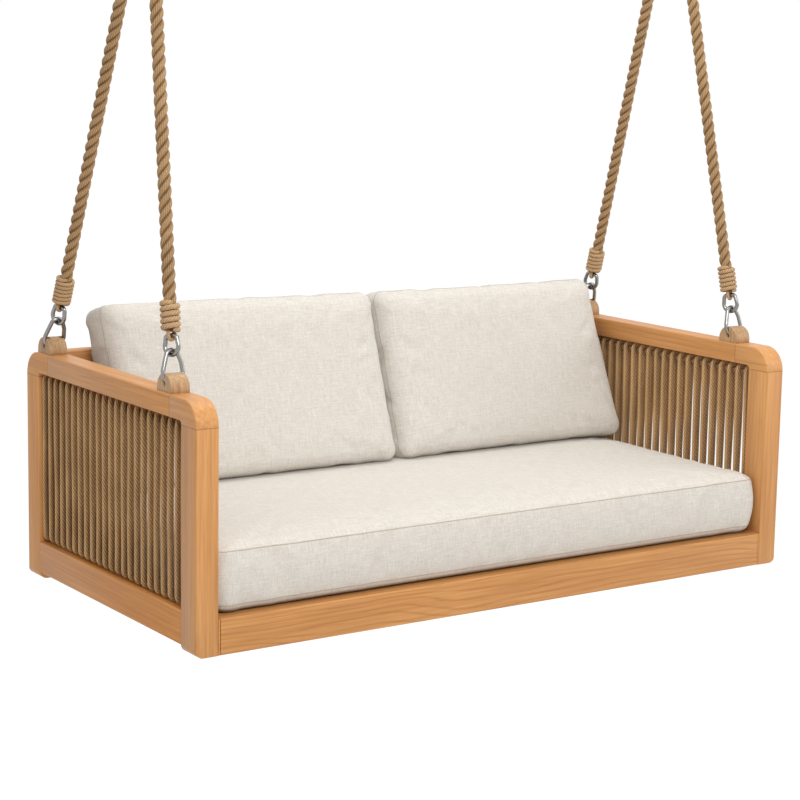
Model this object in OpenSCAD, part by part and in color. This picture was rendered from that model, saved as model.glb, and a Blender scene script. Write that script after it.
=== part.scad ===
// Hanging swing bed: a wooden daybed with cord-wound arms and loose cushions,
// hung from two ceiling plates by four whipped ropes.
// Millimetres. Origin: ceiling plane, midway between the two ceiling plates. +Z up, front is -Y.
// Bed pieces are written level, from the middle of the bed at the feet of its posts.
// bed_placed() hangs them under the ceiling, tipped back as the bed rests in its ropes.

/* [Bed frame] */
// width over both arms
bed_width = 1820; // [1500:10:2100]
// depth over the posts, front to back
bed_depth = 920; // [800:10:1100]
// height of the arms above the feet
arm_height = 600; // [450:10:700]
// thickness of an arm across the bed
arm_thick = 60; // [45:1:80]
// depth of a post, front to back
post_depth = 72; // [50:1:100]
// height of the top rails
top_rail_height = 52; // [40:1:80]
// underside and top of the arm's bottom rail above the feet
side_rail_low = 16; // [0:1:40]
side_rail_top = 100; // [70:1:140]
// outer radius of the arm's upper corners
corner_radius = 62; // [40:1:80]
// length of a corner block along the rail
corner_length = 130; // [100:1:180]
// softened edge of the visible wood
edge_radius = 4; // [2:0.5:8]
// rounding under the outer side of each post
foot_radius = 20; // [5:1:30]

/* [Cord panels] */
// diameter of the wound cord
cord_diameter = 12.5; // [8:0.5:16]
// diameter of the rods the cord goes round
rod_diameter = 18; // [12:1:25]
// turns of cord in each arm
arm_turns = 22; // [10:1:24]
// runs of cord in each layer of the back
back_runs = 48; // [30:1:60]

/* [Seat] */
// height of the front rail
front_rail_height = 88; // [60:1:120]
// thickness of the front rail
front_rail_thick = 60; // [30:1:75]
// number of seat slats
slat_count = 13; // [9:1:17]
// width of a seat slat
slat_width = 80; // [50:1:90]
// height of the seat cushion at its crown, above the slats
cushion_height = 170; // [120:5:220]

/* [Back cushions] */
// height of a back cushion from seam to seam
back_cushion_height = 442; // [350:1:520]
// width of its boxing between the seams
back_cushion_boxing = 112; // [80:1:150]
// lean of the back cushions from upright
back_lean = 19.4; // [10:0.1:25]
// the back cushions meet this far to the right of the middle
cushion_split = 50; // [-100:1:100]
// free space beside the left back cushion
cushion_left_gap = 72; // [5:1:90]

/* [Hangers] */
// half the distance between the two ceiling plates
hang_half = 806; // [700:1:880]
// height above the feet where the two ropes of a side meet
apex_height = 1880; // [1500:10:2400]
// the ropes meet this far ahead of the middle of the bed
apex_ahead = 50; // [-60:1:100]
// the bed hangs tipped back by this angle
tip_back = 3.55; // [0:0.05:6]
// diameter of the ropes
rope_diameter = 32; // [20:1:40]
// wire of the pear links and rope rings
link_wire = 11; // [8:0.5:14]
// front hanger hole behind the front of the arm
hole_front_in = 167; // [100:1:200]
// rear hanger hole ahead of the back of the arm
hole_rear_in = 94; // [80:1:150]
// turn of the rope rings about their ropes
ring_turn = 22; // [0:1:35]

/* [Hidden] */
$fn = 48;
half_w = bed_width / 2;
half_d = bed_depth / 2;
post_in = half_d - post_depth;
joint_z = arm_height - corner_radius;
rail_low = arm_height - top_rail_height;
block_in = half_d - corner_length;
socket = 15;
fit = 0.1;

// back of the bed: rails' front face, rods and rail thicknesses
back_face = half_d - 77;
back_y = half_d - 56;
back_thick = 45;
back_top_thick = 42;

// hanger fittings
hole_front = hole_front_in - half_d;
hole_rear = half_d - hole_rear_in;
wire = link_wire / 2;
saddle_out = half_w - 6;
saddle_wide = 49;
saddle_deep = 70;
saddle_high = 43;
waist = 12.8;
link_x = saddle_out - saddle_wide / 2;
link_big = 26;
link_small = 16;
link_long = 78;
bar_up = 18;
slack = 0.45;
contact = link_long - 2 * wire - slack;
master_wire = 6.5;
master_r = 44;
side_step = 5.8;
over_wire = master_wire + wire + 1.1;
tang_thick = 8;
tang_hole = 11;
tang_drop = 42;
ring_slack = 0.5;
ear_gap = 0.4;
ear_thick = 6;
ear_drop = 32;
plate_thick = 6;
plate_x = 90;
plate_y = 150;
bolt_r = 6;
screw_gap = 110;
screw_r = 5.5;
hang_top = apex_height + 2 * master_r;
pivot_up = tang_hole - master_wire - ring_slack + tang_drop;
ceiling_up = hang_top + pivot_up + ear_drop + plate_thick;
lean_in = atan((link_x - hang_half) / (hang_top - arm_height - bar_up));
apex_x = hang_half + 2 * master_r * sin(lean_in);
apex_z = hang_top - 2 * master_r * cos(lean_in);

// ends of the ropes: ring, eye and whipping, measured from the ring's bar
ring_big = 20;
ring_corner = 8;
ring_flat = 9;
ring_long = 45.3;
long_ring = 96;
whip_gap = 6.7;
whip_long = 76;
whip_out = 24.5;
core_r = 9;
screw_step = 16;
eye_r = 4.5;
eye_path = wire + eye_r + 0.2;

// colours
oak = [0.78, 0.55, 0.34];
steel = [0.7, 0.7, 0.72];
rope_tan = [0.78, 0.64, 0.46];
cord_tan = [0.62, 0.5, 0.34];
linen = [0.88, 0.85, 0.78];

// ---------- helpers ----------
function unit(v) = v / norm(v);

// hangs bed pieces under the ceiling plane: turned about the height where the ropes meet
module bed_placed() {
    translate([0, 0, apex_height - ceiling_up]) rotate([-tip_back, 0, 0])
        translate([0, apex_ahead, -apex_height]) children();
}
// the same for one point
function on_bed(p) = let (y = p[1] + apex_ahead, z = p[2] - apex_height)
    [p[0], y * cos(tip_back) + z * sin(tip_back),
        z * cos(tip_back) - y * sin(tip_back) + apex_height - ceiling_up];

// draws a piece of the left arm, or its mirror for the right arm
module on_side(side) {
    if (side < 0) children();
    else mirror([1, 0, 0]) children();
}

// rectangle with its own radius at each corner: low left, low right, top right, top left
module soft_rect(w, h, r) {
    at = [[0, 0], [w, 0], [w, h], [0, h]];
    to = [[1, 1], [-1, 1], [-1, -1], [1, -1]];
    difference() {
        square([w, h]);
        for (k = [0:3]) if (r[k] > 0)
            translate([at[k][0] + (to[k][0] - 1) * r[k] / 2, at[k][1] + (to[k][1] - 1) * r[k] / 2])
                square([r[k], r[k]]);
    }
    for (k = [0:3]) if (r[k] > 0)
        translate([at[k][0] + to[k][0] * r[k], at[k][1] + to[k][1] * r[k]]) circle(r[k]);
}

// bar along Y: profile across X and Z
module bar_y(x0, x1, y0, y1, z0, z1, r) {
    translate([x0, y1, z0]) rotate([90, 0, 0]) linear_extrude(y1 - y0)
        soft_rect(x1 - x0, z1 - z0, r);
}

// bar along X: profile across Y and Z
module bar_x(x0, x1, y0, y1, z0, z1, r) {
    translate([x0, y0, z0]) rotate([90, 0, 90]) linear_extrude(x1 - x0)
        soft_rect(y1 - y0, z1 - z0, r);
}

module box(x0, x1, y0, y1, z0, z1) {
    translate([x0, y0, z0]) cube([x1 - x0, y1 - y0, z1 - z0]);
}

// round rod from a to b along one axis
module rod_x(x0, x1, y, z, r) {
    translate([x0, y, z]) rotate([0, 90, 0]) cylinder(r = r, h = x1 - x0);
}
module rod_y(x, y0, y1, z, r) {
    translate([x, y1, z]) rotate([90, 0, 0]) cylinder(r = r, h = y1 - y0);
}

// stands its children on the point a, with their Z towards b
module towards(a, b) {
    d = unit(b - a);
    translate(a) rotate([-asin(d[1]), atan2(d[0], d[2]), 0]) children();
}

// direction of the line that touches two circles on their outer side
function touch(a, b) = let (d = [b[0] - a[0], b[1] - a[1]])
    atan2(d[1], d[0]) - acos((a[2] - b[2]) / norm(d));

// closed path round circles [x, y, radius], listed anticlockwise
function ring_path(c) = [for (i = [0:len(c) - 1])
    let (n = len(c), me = c[i], a0 = touch(c[(i + n - 1) % n], me), a1 = touch(me, c[(i + 1) % n]),
        sweep = (a1 - a0 + 720) % 360, steps = ceil(sweep / 25))
    for (k = [0:steps]) let (a = a0 + sweep * k / steps)
        [me[0] + me[2] * cos(a), me[1] + me[2] * sin(a), 0]];

// wire of ten sides bent along that path
module ring_wire(c, w) {
    p = ring_path(c);
    n = len(p);
    sides = 10;
    pts = [for (i = [0:n - 1]) let (t = unit(p[(i + 1) % n] - p[(i + n - 1) % n]),
            inward = unit(cross([0, 0, 1], t)))
        for (k = [0:sides - 1]) let (a = 360 * k / sides)
            p[i] + w * (cos(a) * inward + sin(a) * cross(t, inward))];
    polyhedron(pts, concat(
        [for (i = [0:n - 1]) for (k = [0:sides - 1])
            let (j = (i + 1) % n, m = (k + 1) % sides) [i * sides + k, j * sides + k, i * sides + m]],
        [for (i = [0:n - 1]) for (k = [0:sides - 1])
            let (j = (i + 1) % n, m = (k + 1) % sides) [i * sides + m, j * sides + k, j * sides + m]]));
}

// tube of triangles along a path: path points, radii, sides and a direction never along the path
function path_dir(p, i) = unit(p[min(i + 1, len(p) - 1)] - p[max(i - 1, 0)]);
function tube_points(p, r, sides, up) = [for (i = [0:len(p) - 1])
    let (t = path_dir(p, i), n = unit(cross(up, t)), b = cross(t, n))
    for (k = [0:sides - 1]) let (a = 360 * (k + 0.5) / sides)
        p[i] + r[i] * (cos(a) * n + sin(a) * b)];
function tube_faces(rings, sides) = concat(
    [for (i = [0:rings - 2]) for (k = [0:sides - 1])
        let (a = i * sides + k, b = i * sides + (k + 1) % sides) [a, a + sides, b]],
    [for (i = [0:rings - 2]) for (k = [0:sides - 1])
        let (a = i * sides + k, b = i * sides + (k + 1) % sides) [b, a + sides, b + sides]],
    [for (k = [1:sides - 2]) [0, k, k + 1]],
    [for (k = [1:sides - 2]) let (s = (rings - 1) * sides) [s, s + k + 1, s + k]]);
module tube(p, r, sides, up) {
    polyhedron(tube_points(p, r, sides, up), tube_faces(len(p), sides));
}
function same(v, n) = [for (i = [1:n]) v];

// least gap between turns, on points at least one turn apart
function least_gap(p, skip, d) = min([for (i = [0:len(p) - skip - 1])
    min([for (j = [i + skip:len(p) - 1]) norm(p[i] - p[j])])]) - d;

// ---------- ceiling hangers ----------
module both_hangers() {
    for (s = [-1, 1]) translate([s * hang_half, 0, 0]) children();
}
pivot_z = -ear_drop - plate_thick;
ring_top_z = pivot_z - pivot_up;

module ceiling_plates() {
    color(steel) both_hangers() difference() {
        union() {
            translate([-plate_x / 2, -plate_y / 2, -plate_thick])
                cube([plate_x, plate_y, plate_thick]);
            for (s = [-1, 1]) {
                x0 = s > 0 ? tang_thick / 2 + ear_gap : -tang_thick / 2 - ear_gap - ear_thick;
                translate([x0, -20, pivot_z]) cube([ear_thick, 40, ear_drop]);
                rod_x(x0, x0 + ear_thick, 0, pivot_z, 20);
            }
        }
        for (s = [-1, 1]) translate([0, s * screw_gap / 2, -plate_thick - 1])
            cylinder(r = screw_r, h = plate_thick + 2);
        rod_x(-30, 30, 0, pivot_z, bolt_r + 0.05);
    }
}

bolt_face = tang_thick / 2 + ear_gap + ear_thick;
module pivot_bolts() {
    color(steel) both_hangers() {
        rod_x(-bolt_face, bolt_face + 13, 0, pivot_z, bolt_r);
        translate([-bolt_face - 7.5, 0, pivot_z]) rotate([0, 90, 0])
            linear_extrude(7.5) polygon([for (k = [0:5]) 10.97 * [cos(60 * k), sin(60 * k)]]);
    }
}

module pivot_nuts() {
    color(steel) both_hangers() translate([bolt_face, 0, pivot_z]) rotate([0, 90, 0])
        linear_extrude(10) difference() {
            polygon([for (k = [0:5]) 10.97 * [cos(60 * k), sin(60 * k)]]);
            circle(bolt_r + 0.02);
        }
}

module hanger_tangs() {
    color(steel) both_hangers() difference() {
        union() {
            box(-tang_thick / 2, tang_thick / 2, -21, 21, pivot_z - tang_drop, pivot_z);
            rod_x(-tang_thick / 2, tang_thick / 2, 0, pivot_z, 21);
            rod_x(-tang_thick / 2, tang_thick / 2, 0, pivot_z - tang_drop, 21);
        }
        rod_x(-10, 10, 0, pivot_z, 9.02);
        rod_x(-10, 10, 0, pivot_z - tang_drop, tang_hole);
        // rounded mouths that let the ring roll sideways
        for (s = [-1, 1]) translate([s * 0.4, 0, pivot_z - tang_drop]) rotate([0, s * 90, 0])
            cylinder(r1 = tang_hole, r2 = tang_hole + 3.8, h = 3.8);
    }
}

module pivot_bushes() {
    color([0.72, 0.53, 0.3]) both_hangers() difference() {
        rod_x(-tang_thick / 2, tang_thick / 2, 0, pivot_z, 9);
        rod_x(-tang_thick, tang_thick, 0, pivot_z, bolt_r + 0.05);
    }
}

// ---------- one side's ropes, written for the left ----------
function hole_y(end) = end < 0 ? hole_front : hole_rear;
function saddle_pin(end) = on_bed([-link_x, hole_y(end), arm_height + bar_up]);
function apex_point(end) = [-apex_x + end * side_step, 0, apex_z - ceiling_up];
function rope_way(end) = unit(apex_point(end) - saddle_pin(end));
function rope_low(end) = saddle_pin(end) + contact * rope_way(end);
function rope_top(end) = apex_point(end) + over_wire * rope_way(end);
function rope_span(end) = norm(rope_top(end) - rope_low(end));
function rope_end(end) = rope_span(end) - long_ring + ring_long;

module at_rope(end) {
    towards(rope_low(end), rope_top(end)) children();
}

module master_ring(side) {
    color(steel) on_side(side) translate([-hang_half, 0, ring_top_z]) rotate([0, lean_in, 0])
        translate([0, 0, -master_r]) rotate([90, 0, 0])
            rotate_extrude() translate([master_r, 0]) circle(master_wire);
}

module top_rings(side) {
    color(steel) on_side(side) for (end = [-1, 1]) at_rope(end)
        translate([0, 0, rope_span(end)]) rotate([90, 0, 90])
            ring_wire([[-ring_flat, ring_corner - long_ring, ring_corner],
                [ring_flat, ring_corner - long_ring, ring_corner], [0, -link_small, link_small]], wire);
}

module rope_ring(end) {
    color(steel) at_rope(end) rotate([0, 0, ring_turn]) rotate([90, 0, 90])
        ring_wire([[0, ring_big, ring_big], [ring_flat, ring_long - ring_corner, ring_corner],
            [-ring_flat, ring_long - ring_corner, ring_corner]], wire);
}

// scalloped sleeve of turns near the ceiling
module top_whipping(end) {
    rows = 7;
    step = whip_long / rows;
    at_rope(end) translate([0, 0, rope_end(end) - ring_long - whip_gap - whip_long])
        rotate_extrude() difference() {
            union() {
                translate([core_r + 0.3, 0]) square([whip_out - step / 2 - core_r - 0.3, whip_long]);
                for (k = [0:rows - 1]) translate([whip_out - step / 2, step * (k + 0.5)])
                    circle(step / 2 - 0.02);
            }
            translate([-50, -1]) square([50 + core_r + 0.3, whip_long + 2]);
        }
}

module top_whippings(side) {
    color(rope_tan) on_side(side) for (end = [-1, 1]) top_whipping(end);
}

// small eye of the rope round the ring's bar; bar at height z, whipping on the side up
module eye_loop(z, up, turn) {
    translate([0, 0, z]) rotate([0, 0, turn]) rotate([90, 0, 0]) mirror([0, up > 0 ? 0 : 1, 0]) {
        rotate([0, 0, 180]) rotate_extrude(angle = 180) translate([eye_path, 0]) circle(eye_r);
        for (s = [-1, 1]) translate([s * eye_path, 0, 0]) rotate([-90, 0, 0])
            cylinder(r = eye_r, h = whip_gap - 0.7);
    }
}

module rope_eyes(side) {
    color(rope_tan) on_side(side) for (end = [-1, 1]) at_rope(end) {
        eye_loop(ring_long, 1, ring_turn);
        eye_loop(rope_end(end) - ring_long, -1, 0);
    }
}

// cord of the lower whippings
whip_cord_front_left = 13.2;
whip_cord_rear_left = 9.6;
whip_cord_right = 11.2;

// rope from eye to eye, narrow inside its whippings; stations along the free length
rope_steps = 13;
function rope_heights(end) = let (lo = ring_long + whip_gap, hi = rope_end(end) - lo,
        free = [lo + whip_long + 5, hi - whip_long - 5])
    concat([lo - 0.7, lo + whip_long + 0.6],
        [for (k = [0:rope_steps]) free[0] + (free[1] - free[0]) * k / rope_steps],
        [hi - whip_long - 0.6, hi + 0.7]);
function core_of(d) = (whip_out - d / 2) * cos(22.5) - d / 2 * cos(30) - 0.3;
function rope_radii(d) = concat([core_of(d), core_of(d)], same(rope_diameter / 2, rope_steps + 1),
    [core_r, core_r]);

module rope(end, d) {
    h = rope_heights(end);
    color(rope_tan) at_rope(end) tube([for (z = h) [0, 0, z]], rope_radii(d), 10, [1, 0, 0]);
}

// the lower whippings: one cord wound round the rope's end
function whip_path(turns, d) = let (low = ring_long + whip_gap + d / 2,
        step = (whip_long - d) / turns)
    [for (i = [0:round(turns * 8)]) let (a = 45 * i)
        [(whip_out - d / 2) * cos(a), (whip_out - d / 2) * sin(a), low + step * i / 8]];

module whipping(end, turns, d) {
    p = whip_path(turns, d);
    echo(str("whipping of ", turns, " turns, least gap ", least_gap(p, 6, d)));
    color(rope_tan) at_rope(end) tube(p, same(d / 2, len(p)), 6, [0, 0, 1]);
}

// pear link through the saddle block
module link(end) {
    color(steel) towards(saddle_pin(end), apex_point(end)) rotate([90, 0, 0])
        ring_wire([[0, link_big, link_big], [0, link_long - link_small, link_small]], wire);
}

// ---------- arms, written for the left ----------
module saddle(end) {
    y = hole_y(end);
    top_r = saddle_deep / 2;
    color([0.82, 0.66, 0.46]) difference() {
        bed_placed() union() {
            box(-saddle_out, -saddle_out + saddle_wide, y - top_r, y + top_r,
                arm_height, arm_height + saddle_high - top_r);
            difference() {
                rod_x(-saddle_out, -saddle_out + saddle_wide, y, arm_height + saddle_high - top_r, top_r);
                box(-saddle_out - 1, -saddle_out + saddle_wide + 1, y - 50, y + 50,
                    arm_height - 40, arm_height + saddle_high - top_r);
            }
        }
        towards(saddle_pin(end), apex_point(end)) {
            rod_x(-40, 40, 0, 0, wire + 1);
            rod_x(-40, 40, 0, 4.3, wire + 1);
            box(-40, 40, -wire - 1, wire + 1, 0, 4.3);
            for (s = [-1, 1]) box(s > 0 ? waist : -40, s > 0 ? 40 : -waist, -wire - 1, wire + 1, 0, 45);
        }
        bed_placed() saddle_screw_holes(end, 0.02);
    }
}

// screws from under the top rail into the saddle block
module saddle_screw_holes(end, gap) {
    for (s = [-1, 1]) translate([-link_x, hole_y(end) + s * screw_step, 0]) {
        translate([0, 0, rail_low - 1]) cylinder(r = 3 + gap, h = top_rail_height + 20 + gap);
        translate([0, 0, rail_low - 1]) cylinder(r = 6 + gap, h = 6 + gap);
    }
}

module rod_sockets(y_in, gap) {
    for (z = [rod_low_z, rod_top_z])
        rod_y(-half_w + arm_thick / 2, -y_in - socket - gap, y_in + socket + gap, z,
            rod_diameter / 2 + gap / 4);
}
rod_top_z = rail_low - 25;
rod_low_z = side_rail_top + 25;
back_rod_top = rail_low - 3 - 25;
back_rod_low = front_rail_height + 26;

module back_rod_solids(gap) {
    for (z = [back_rod_low, back_rod_top])
        rod_x(-half_w + arm_thick - 12 - gap, half_w - arm_thick + 12 + gap, back_y, z,
            rod_diameter / 2 + gap / 4);
}

// loose tenons of one arm, thinner than the wood; gap eases their ends
module tenon(y0, y1, z0, z1, gap_y, gap_z) {
    box(-half_w + 24, -half_w + 36, y0 - gap_y, y1 + gap_y, z0 - gap_z, z1 + gap_z);
}
module arm_tenon_solids(gap) {
    for (s = [-1, 1]) {
        // rail to corner block, corner block to post, bottom rail to post
        tenon(s * block_in - 16, s * block_in + 16, rail_low + 12, rail_low + 40, gap, 0);
        tenon(s * (half_d - 36) - 18, s * (half_d - 36) + 18, joint_z - 22, joint_z + 22, 0, gap);
        tenon(s * post_in - 25, s * post_in + 25, side_rail_low + 17, side_rail_top - 17, gap, 0);
    }
}

module post(end) {
    color(oak) bed_placed() difference() {
        mirror([0, end < 0 ? 0 : 1, 0]) intersection() {
            translate([-half_w, -half_d, 0]) linear_extrude(joint_z)
                soft_rect(arm_thick, post_depth, [edge_radius, edge_radius, 0, 0]);
            bar_y(-half_w, -half_w + arm_thick, -half_d - 1, -post_in + 1, 0, joint_z,
                [foot_radius, 3, 0, 0]);
        }
        rod_sockets(post_in, fit);
        arm_tenon_solids(1);
        if (end > 0) back_rod_solids(fit);
        frame_bolt_solids(0.1);
    }
}

module corner_block(end) {
    r = edge_radius;
    fillet = joint_z + 10 - rail_low + 10;
    mirror([0, end < 0 ? 0 : 1, 0]) {
        bar_y(-half_w, -half_w + arm_thick, -half_d + corner_radius, -block_in, rail_low,
            arm_height, [0, 0, r, r]);
        translate([-half_w, -half_d + corner_radius, joint_z]) rotate([0, 90, 0])
            rotate([0, 0, 180]) rotate_extrude(angle = 90)
                soft_rect(corner_radius, arm_thick, [0, r, r, 0]);
        box(-half_w, -half_w + arm_thick, -half_d + corner_radius, -post_in, joint_z, rail_low);
        difference() {
            box(-half_w, -half_w + arm_thick, -post_in, -post_in + rail_low - joint_z, joint_z, rail_low);
            rod_x(-half_w - 1, -half_w + arm_thick + 1, -post_in + rail_low - joint_z, joint_z,
                rail_low - joint_z);
        }
    }
}

module corner_blocks(side) {
    color(oak) on_side(side) bed_placed() for (end = [-1, 1]) difference() {
        corner_block(end);
        arm_tenon_solids(1);
        saddle_screw_holes(end, 0.02);
    }
}

module top_rail(side) {
    color(oak) on_side(side) bed_placed() difference() {
        bar_y(-half_w, -half_w + arm_thick, -block_in, block_in, rail_low, arm_height,
            [0, 0, edge_radius, edge_radius]);
        arm_tenon_solids(1);
        for (end = [-1, 1]) saddle_screw_holes(end, 0.02);
    }
}

module bottom_rail(side) {
    color(oak) on_side(side) bed_placed() difference() {
        bar_y(-half_w, -half_w + arm_thick, -post_in, post_in, side_rail_low, side_rail_top,
            [6, 3, 3, 3]);
        arm_tenon_solids(1);
        frame_bolt_solids(0.1);
    }
}

module arm_tenons() {
    color([0.7, 0.48, 0.3]) for (side = [-1, 1]) on_side(side) bed_placed() arm_tenon_solids(0);
}

module cord_rods() {
    color([0.55, 0.4, 0.27]) for (side = [-1, 1]) on_side(side) bed_placed() rod_sockets(post_in, 0);
}

// cord panel: one cord wound over the top rod and under the bottom rod, rear to front
panel_r = 16;
panel_step = (2 * post_in - 17) / arm_turns;
function panel_y(k) = post_in - 8.6 - panel_step * k;
panel_x = -half_w + arm_thick / 2;
function panel_top(y0, y1, first) = [for (i = [first:4]) let (a = 45 * i)
    [panel_x + panel_r * cos(a), (y0 + y1) / 2 + (y0 - y1) / 2 * cos(a), rod_top_z + panel_r * sin(a)]];
function panel_bottom(y0, y1) = [for (i = [0:4]) let (a = 45 * i)
    [panel_x - panel_r * cos(a), (y0 + y1) / 2 + (y0 - y1) / 2 * cos(a), rod_low_z - panel_r * sin(a)]];
function panel_path() = let (half = panel_step / 2) concat(
    [for (k = [0:arm_turns - 1]) let (y = panel_y(k)) each concat(
        k == 0 ? panel_top(y, y, 2) : panel_top(y + half, y, 0), panel_bottom(y, y - half))],
    [[panel_x + panel_r, panel_y(arm_turns - 1) - half, rod_top_z - 20]]);

module cord_panel(side) {
    p = panel_path();
    echo(str("cord panel of ", arm_turns, " turns, least gap ", least_gap(p, 6, cord_diameter)));
    color(cord_tan) on_side(side) bed_placed()
        tube(p, same(cord_diameter / 2, len(p)), 6, [0, 1, 0]);
}

// ---------- seat frame ----------
seat_in = half_w - arm_thick;
side_thick = 35;
lip = 4;

module front_rail() {
    color(oak) bed_placed() difference() {
        bar_x(-seat_in + lip + 2, seat_in - lip - 2, -half_d, -half_d + front_rail_thick, 0,
            front_rail_height, [3, 0, 3, edge_radius]);
        frame_bolt_solids(0.1);
    }
}

module back_rail() {
    color(oak) bed_placed() bar_x(-seat_in + side_thick, seat_in - side_thick, back_face,
        back_face + back_thick, 0, front_rail_height, [3, 3, 3, 3]);
}

module back_top_rail() {
    color(oak) bed_placed() bar_x(-seat_in, seat_in, back_face, back_face + back_top_thick,
        rail_low - 3, arm_height, [3, 3, edge_radius, edge_radius]);
}

module back_rods() {
    color([0.55, 0.4, 0.27]) bed_placed() back_rod_solids(0);
}

// back panel: plain straight runs in two layers beside the rods
module back_cords() {
    span = 2 * seat_in - 40;
    step = span / back_runs;
    color(cord_tan) bed_placed() for (k = [0:back_runs - 1]) for (s = [-1, 1])
        translate([-span / 2 + step * (k + 0.5 + s / 4), back_y + s * panel_r, back_rod_low - 6])
            cylinder(r = cord_diameter / 2, h = back_rod_top - back_rod_low + 12);
}

module seat_side_rails() {
    color(oak) for (side = [-1, 1]) on_side(side) bed_placed() difference() {
        union() {
            box(-seat_in, -seat_in + side_thick, -half_d + front_rail_thick, back_face + back_thick,
                0, front_rail_height);
            box(-seat_in, -seat_in + lip, -half_d, -half_d + front_rail_thick, 0, front_rail_height);
        }
        frame_bolt_solids(0.1);
    }
}

slat_thick = 18;
slat_side = 25;
ledger_thick = 25;
ledger_high = 30;
middle_thick = 36;
middle_high = 55;
slat_low = front_rail_height - slat_thick;
slat_front = -half_d + front_rail_thick;
module slat_supports() {
    x = seat_in - side_thick;
    color(oak) bed_placed() {
        box(-x, x, slat_front, slat_front + ledger_thick, slat_low - ledger_high, slat_low);
        box(-x, x, back_face - ledger_thick, back_face, slat_low - ledger_high, slat_low);
        box(-x, x, -middle_thick / 2, middle_thick / 2, slat_low - middle_high, slat_low);
    }
}

module seat_slats() {
    step = (2 * (seat_in - side_thick - slat_side) - slat_width) / (slat_count - 1);
    color([0.75, 0.6, 0.42]) bed_placed() for (k = [0:slat_count - 1])
        translate([step * (k - (slat_count - 1) / 2) - slat_width / 2, slat_front, slat_low])
            cube([slat_width, back_face - slat_front, slat_thick]);
}

// bolts through the seat side rails into the arms, and screws into the saddles
bolt_up = 24;
module frame_bolt_solids(gap) {
    for (y = [-half_d + front_rail_thick + 30, -half_d + 310, half_d - 310, back_face + 25]) {
        rod_x(-seat_in - 30 - gap, -seat_in + side_thick + 0.01, y, bolt_up, 4 + gap / 4);
        rod_x(-seat_in + side_thick - 6 - gap, -seat_in + side_thick + 0.01, y, bolt_up, 8 + gap / 4);
    }
}

module frame_screws() {
    color(steel) for (side = [-1, 1]) on_side(side) bed_placed() {
        for (end = [-1, 1]) intersection() {
            saddle_screw_holes(end, 0);
            box(-half_w, -seat_in, -half_d, half_d, rail_low, arm_height + 40);
        }
        intersection() {
            frame_bolt_solids(0);
            box(-half_w, -seat_in + side_thick, -half_d, half_d, 0, 100);
        }
    }
}

// ---------- cushions ----------
// outline of a boxed cushion, its sides drawn in between the corners
function arc4(x, y, r, a0) = [for (k = [0:3]) [x + r * cos(a0 + 30 * k), y + r * sin(a0 + 30 * k)]];
function outline(a, b, r, pull) = concat(
    arc4(a - r, b - r, r, 0), [[a / 3, b - pull], [-a / 3, b - pull]],
    arc4(r - a, b - r, r, 90), [[pull - a, b / 3], [pull - a, -b / 3]],
    arc4(r - a, r - b, r, 180), [[-a / 3, pull - b], [a / 3, pull - b]],
    arc4(a - r, r - b, r, 270), [[a - pull, -b / 3], [a - pull, b / 3]]);
function level(a, b, r, pull, z) = [for (p = outline(a, b, r, pull)) [p[0], p[1], z]];

// cushion between z levels: under face, lower seam, upper seam, crown
module cushion(a, b, r, low, seam1, seam2, top, swell) {
    rings = [
        level(a * 0.6, b * 0.6, r * 0.6, 0, low),
        level(a - 22, b - 22, r - 10, 0, low + 1),
        level(a, b, r, 2, seam1),
        level(a + swell, b + swell, r, 3, (seam1 + seam2) / 2),
        level(a, b, r, 2, seam2),
        level(a - 34, b - 34, r, 1, seam2 + (top - seam2) * 0.55),
        level(a * 0.72, b * 0.6, r, 0, seam2 + (top - seam2) * 0.92),
        level(a * 0.3, b * 0.25, r * 0.5, 0, top)];
    n = len(rings[0]);
    m = len(rings);
    pts = concat([for (q = rings) each q], [[0, 0, low], [0, 0, top]]);
    polyhedron(pts, concat(
        [for (j = [0:m - 2]) for (i = [0:n - 1]) let (k = (i + 1) % n)
            [j * n + i, (j + 1) * n + i, (j + 1) * n + k]],
        [for (j = [0:m - 2]) for (i = [0:n - 1]) let (k = (i + 1) % n)
            [j * n + i, (j + 1) * n + k, j * n + k]],
        [for (i = [0:n - 1]) [m * n, i, (i + 1) % n]],
        [for (i = [0:n - 1]) [m * n + 1, (m - 1) * n + (i + 1) % n, (m - 1) * n + i]]));
}

seat_front_y = -half_d + 24;
seat_back_y = back_face - 9;
seat_top = front_rail_height + cushion_height - 0.6;
module seat_cushion() {
    low = front_rail_height + 0.4;
    color(linen) bed_placed() translate([0, (seat_front_y + seat_back_y) / 2, 0])
        cushion(seat_in - 5, (seat_back_y - seat_front_y) / 2, 45, low, low + 18, low + 152,
            low + cushion_height - 1, 4.5);
}

// back cushions stand on the seat cushion and lean on the upper edge of the back top rail
module back_cushion(x0, x1) {
    h = back_cushion_height / 2;
    t = back_cushion_boxing;
    deep = t + 4;
    foot_z = seat_top + 1.1;
    foot_y = back_face - 0.4 - (arm_height - foot_z) * tan(back_lean);
    color(linen) bed_placed() translate([(x0 + x1) / 2, foot_y - deep * cos(back_lean),
            foot_z + deep * sin(back_lean)]) rotate([90 - back_lean, 0, 0])
        translate([0, h, 0]) cushion((x1 - x0) / 2, h, 50, -t - 4, -t, 0, 42, 8);
}

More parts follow.
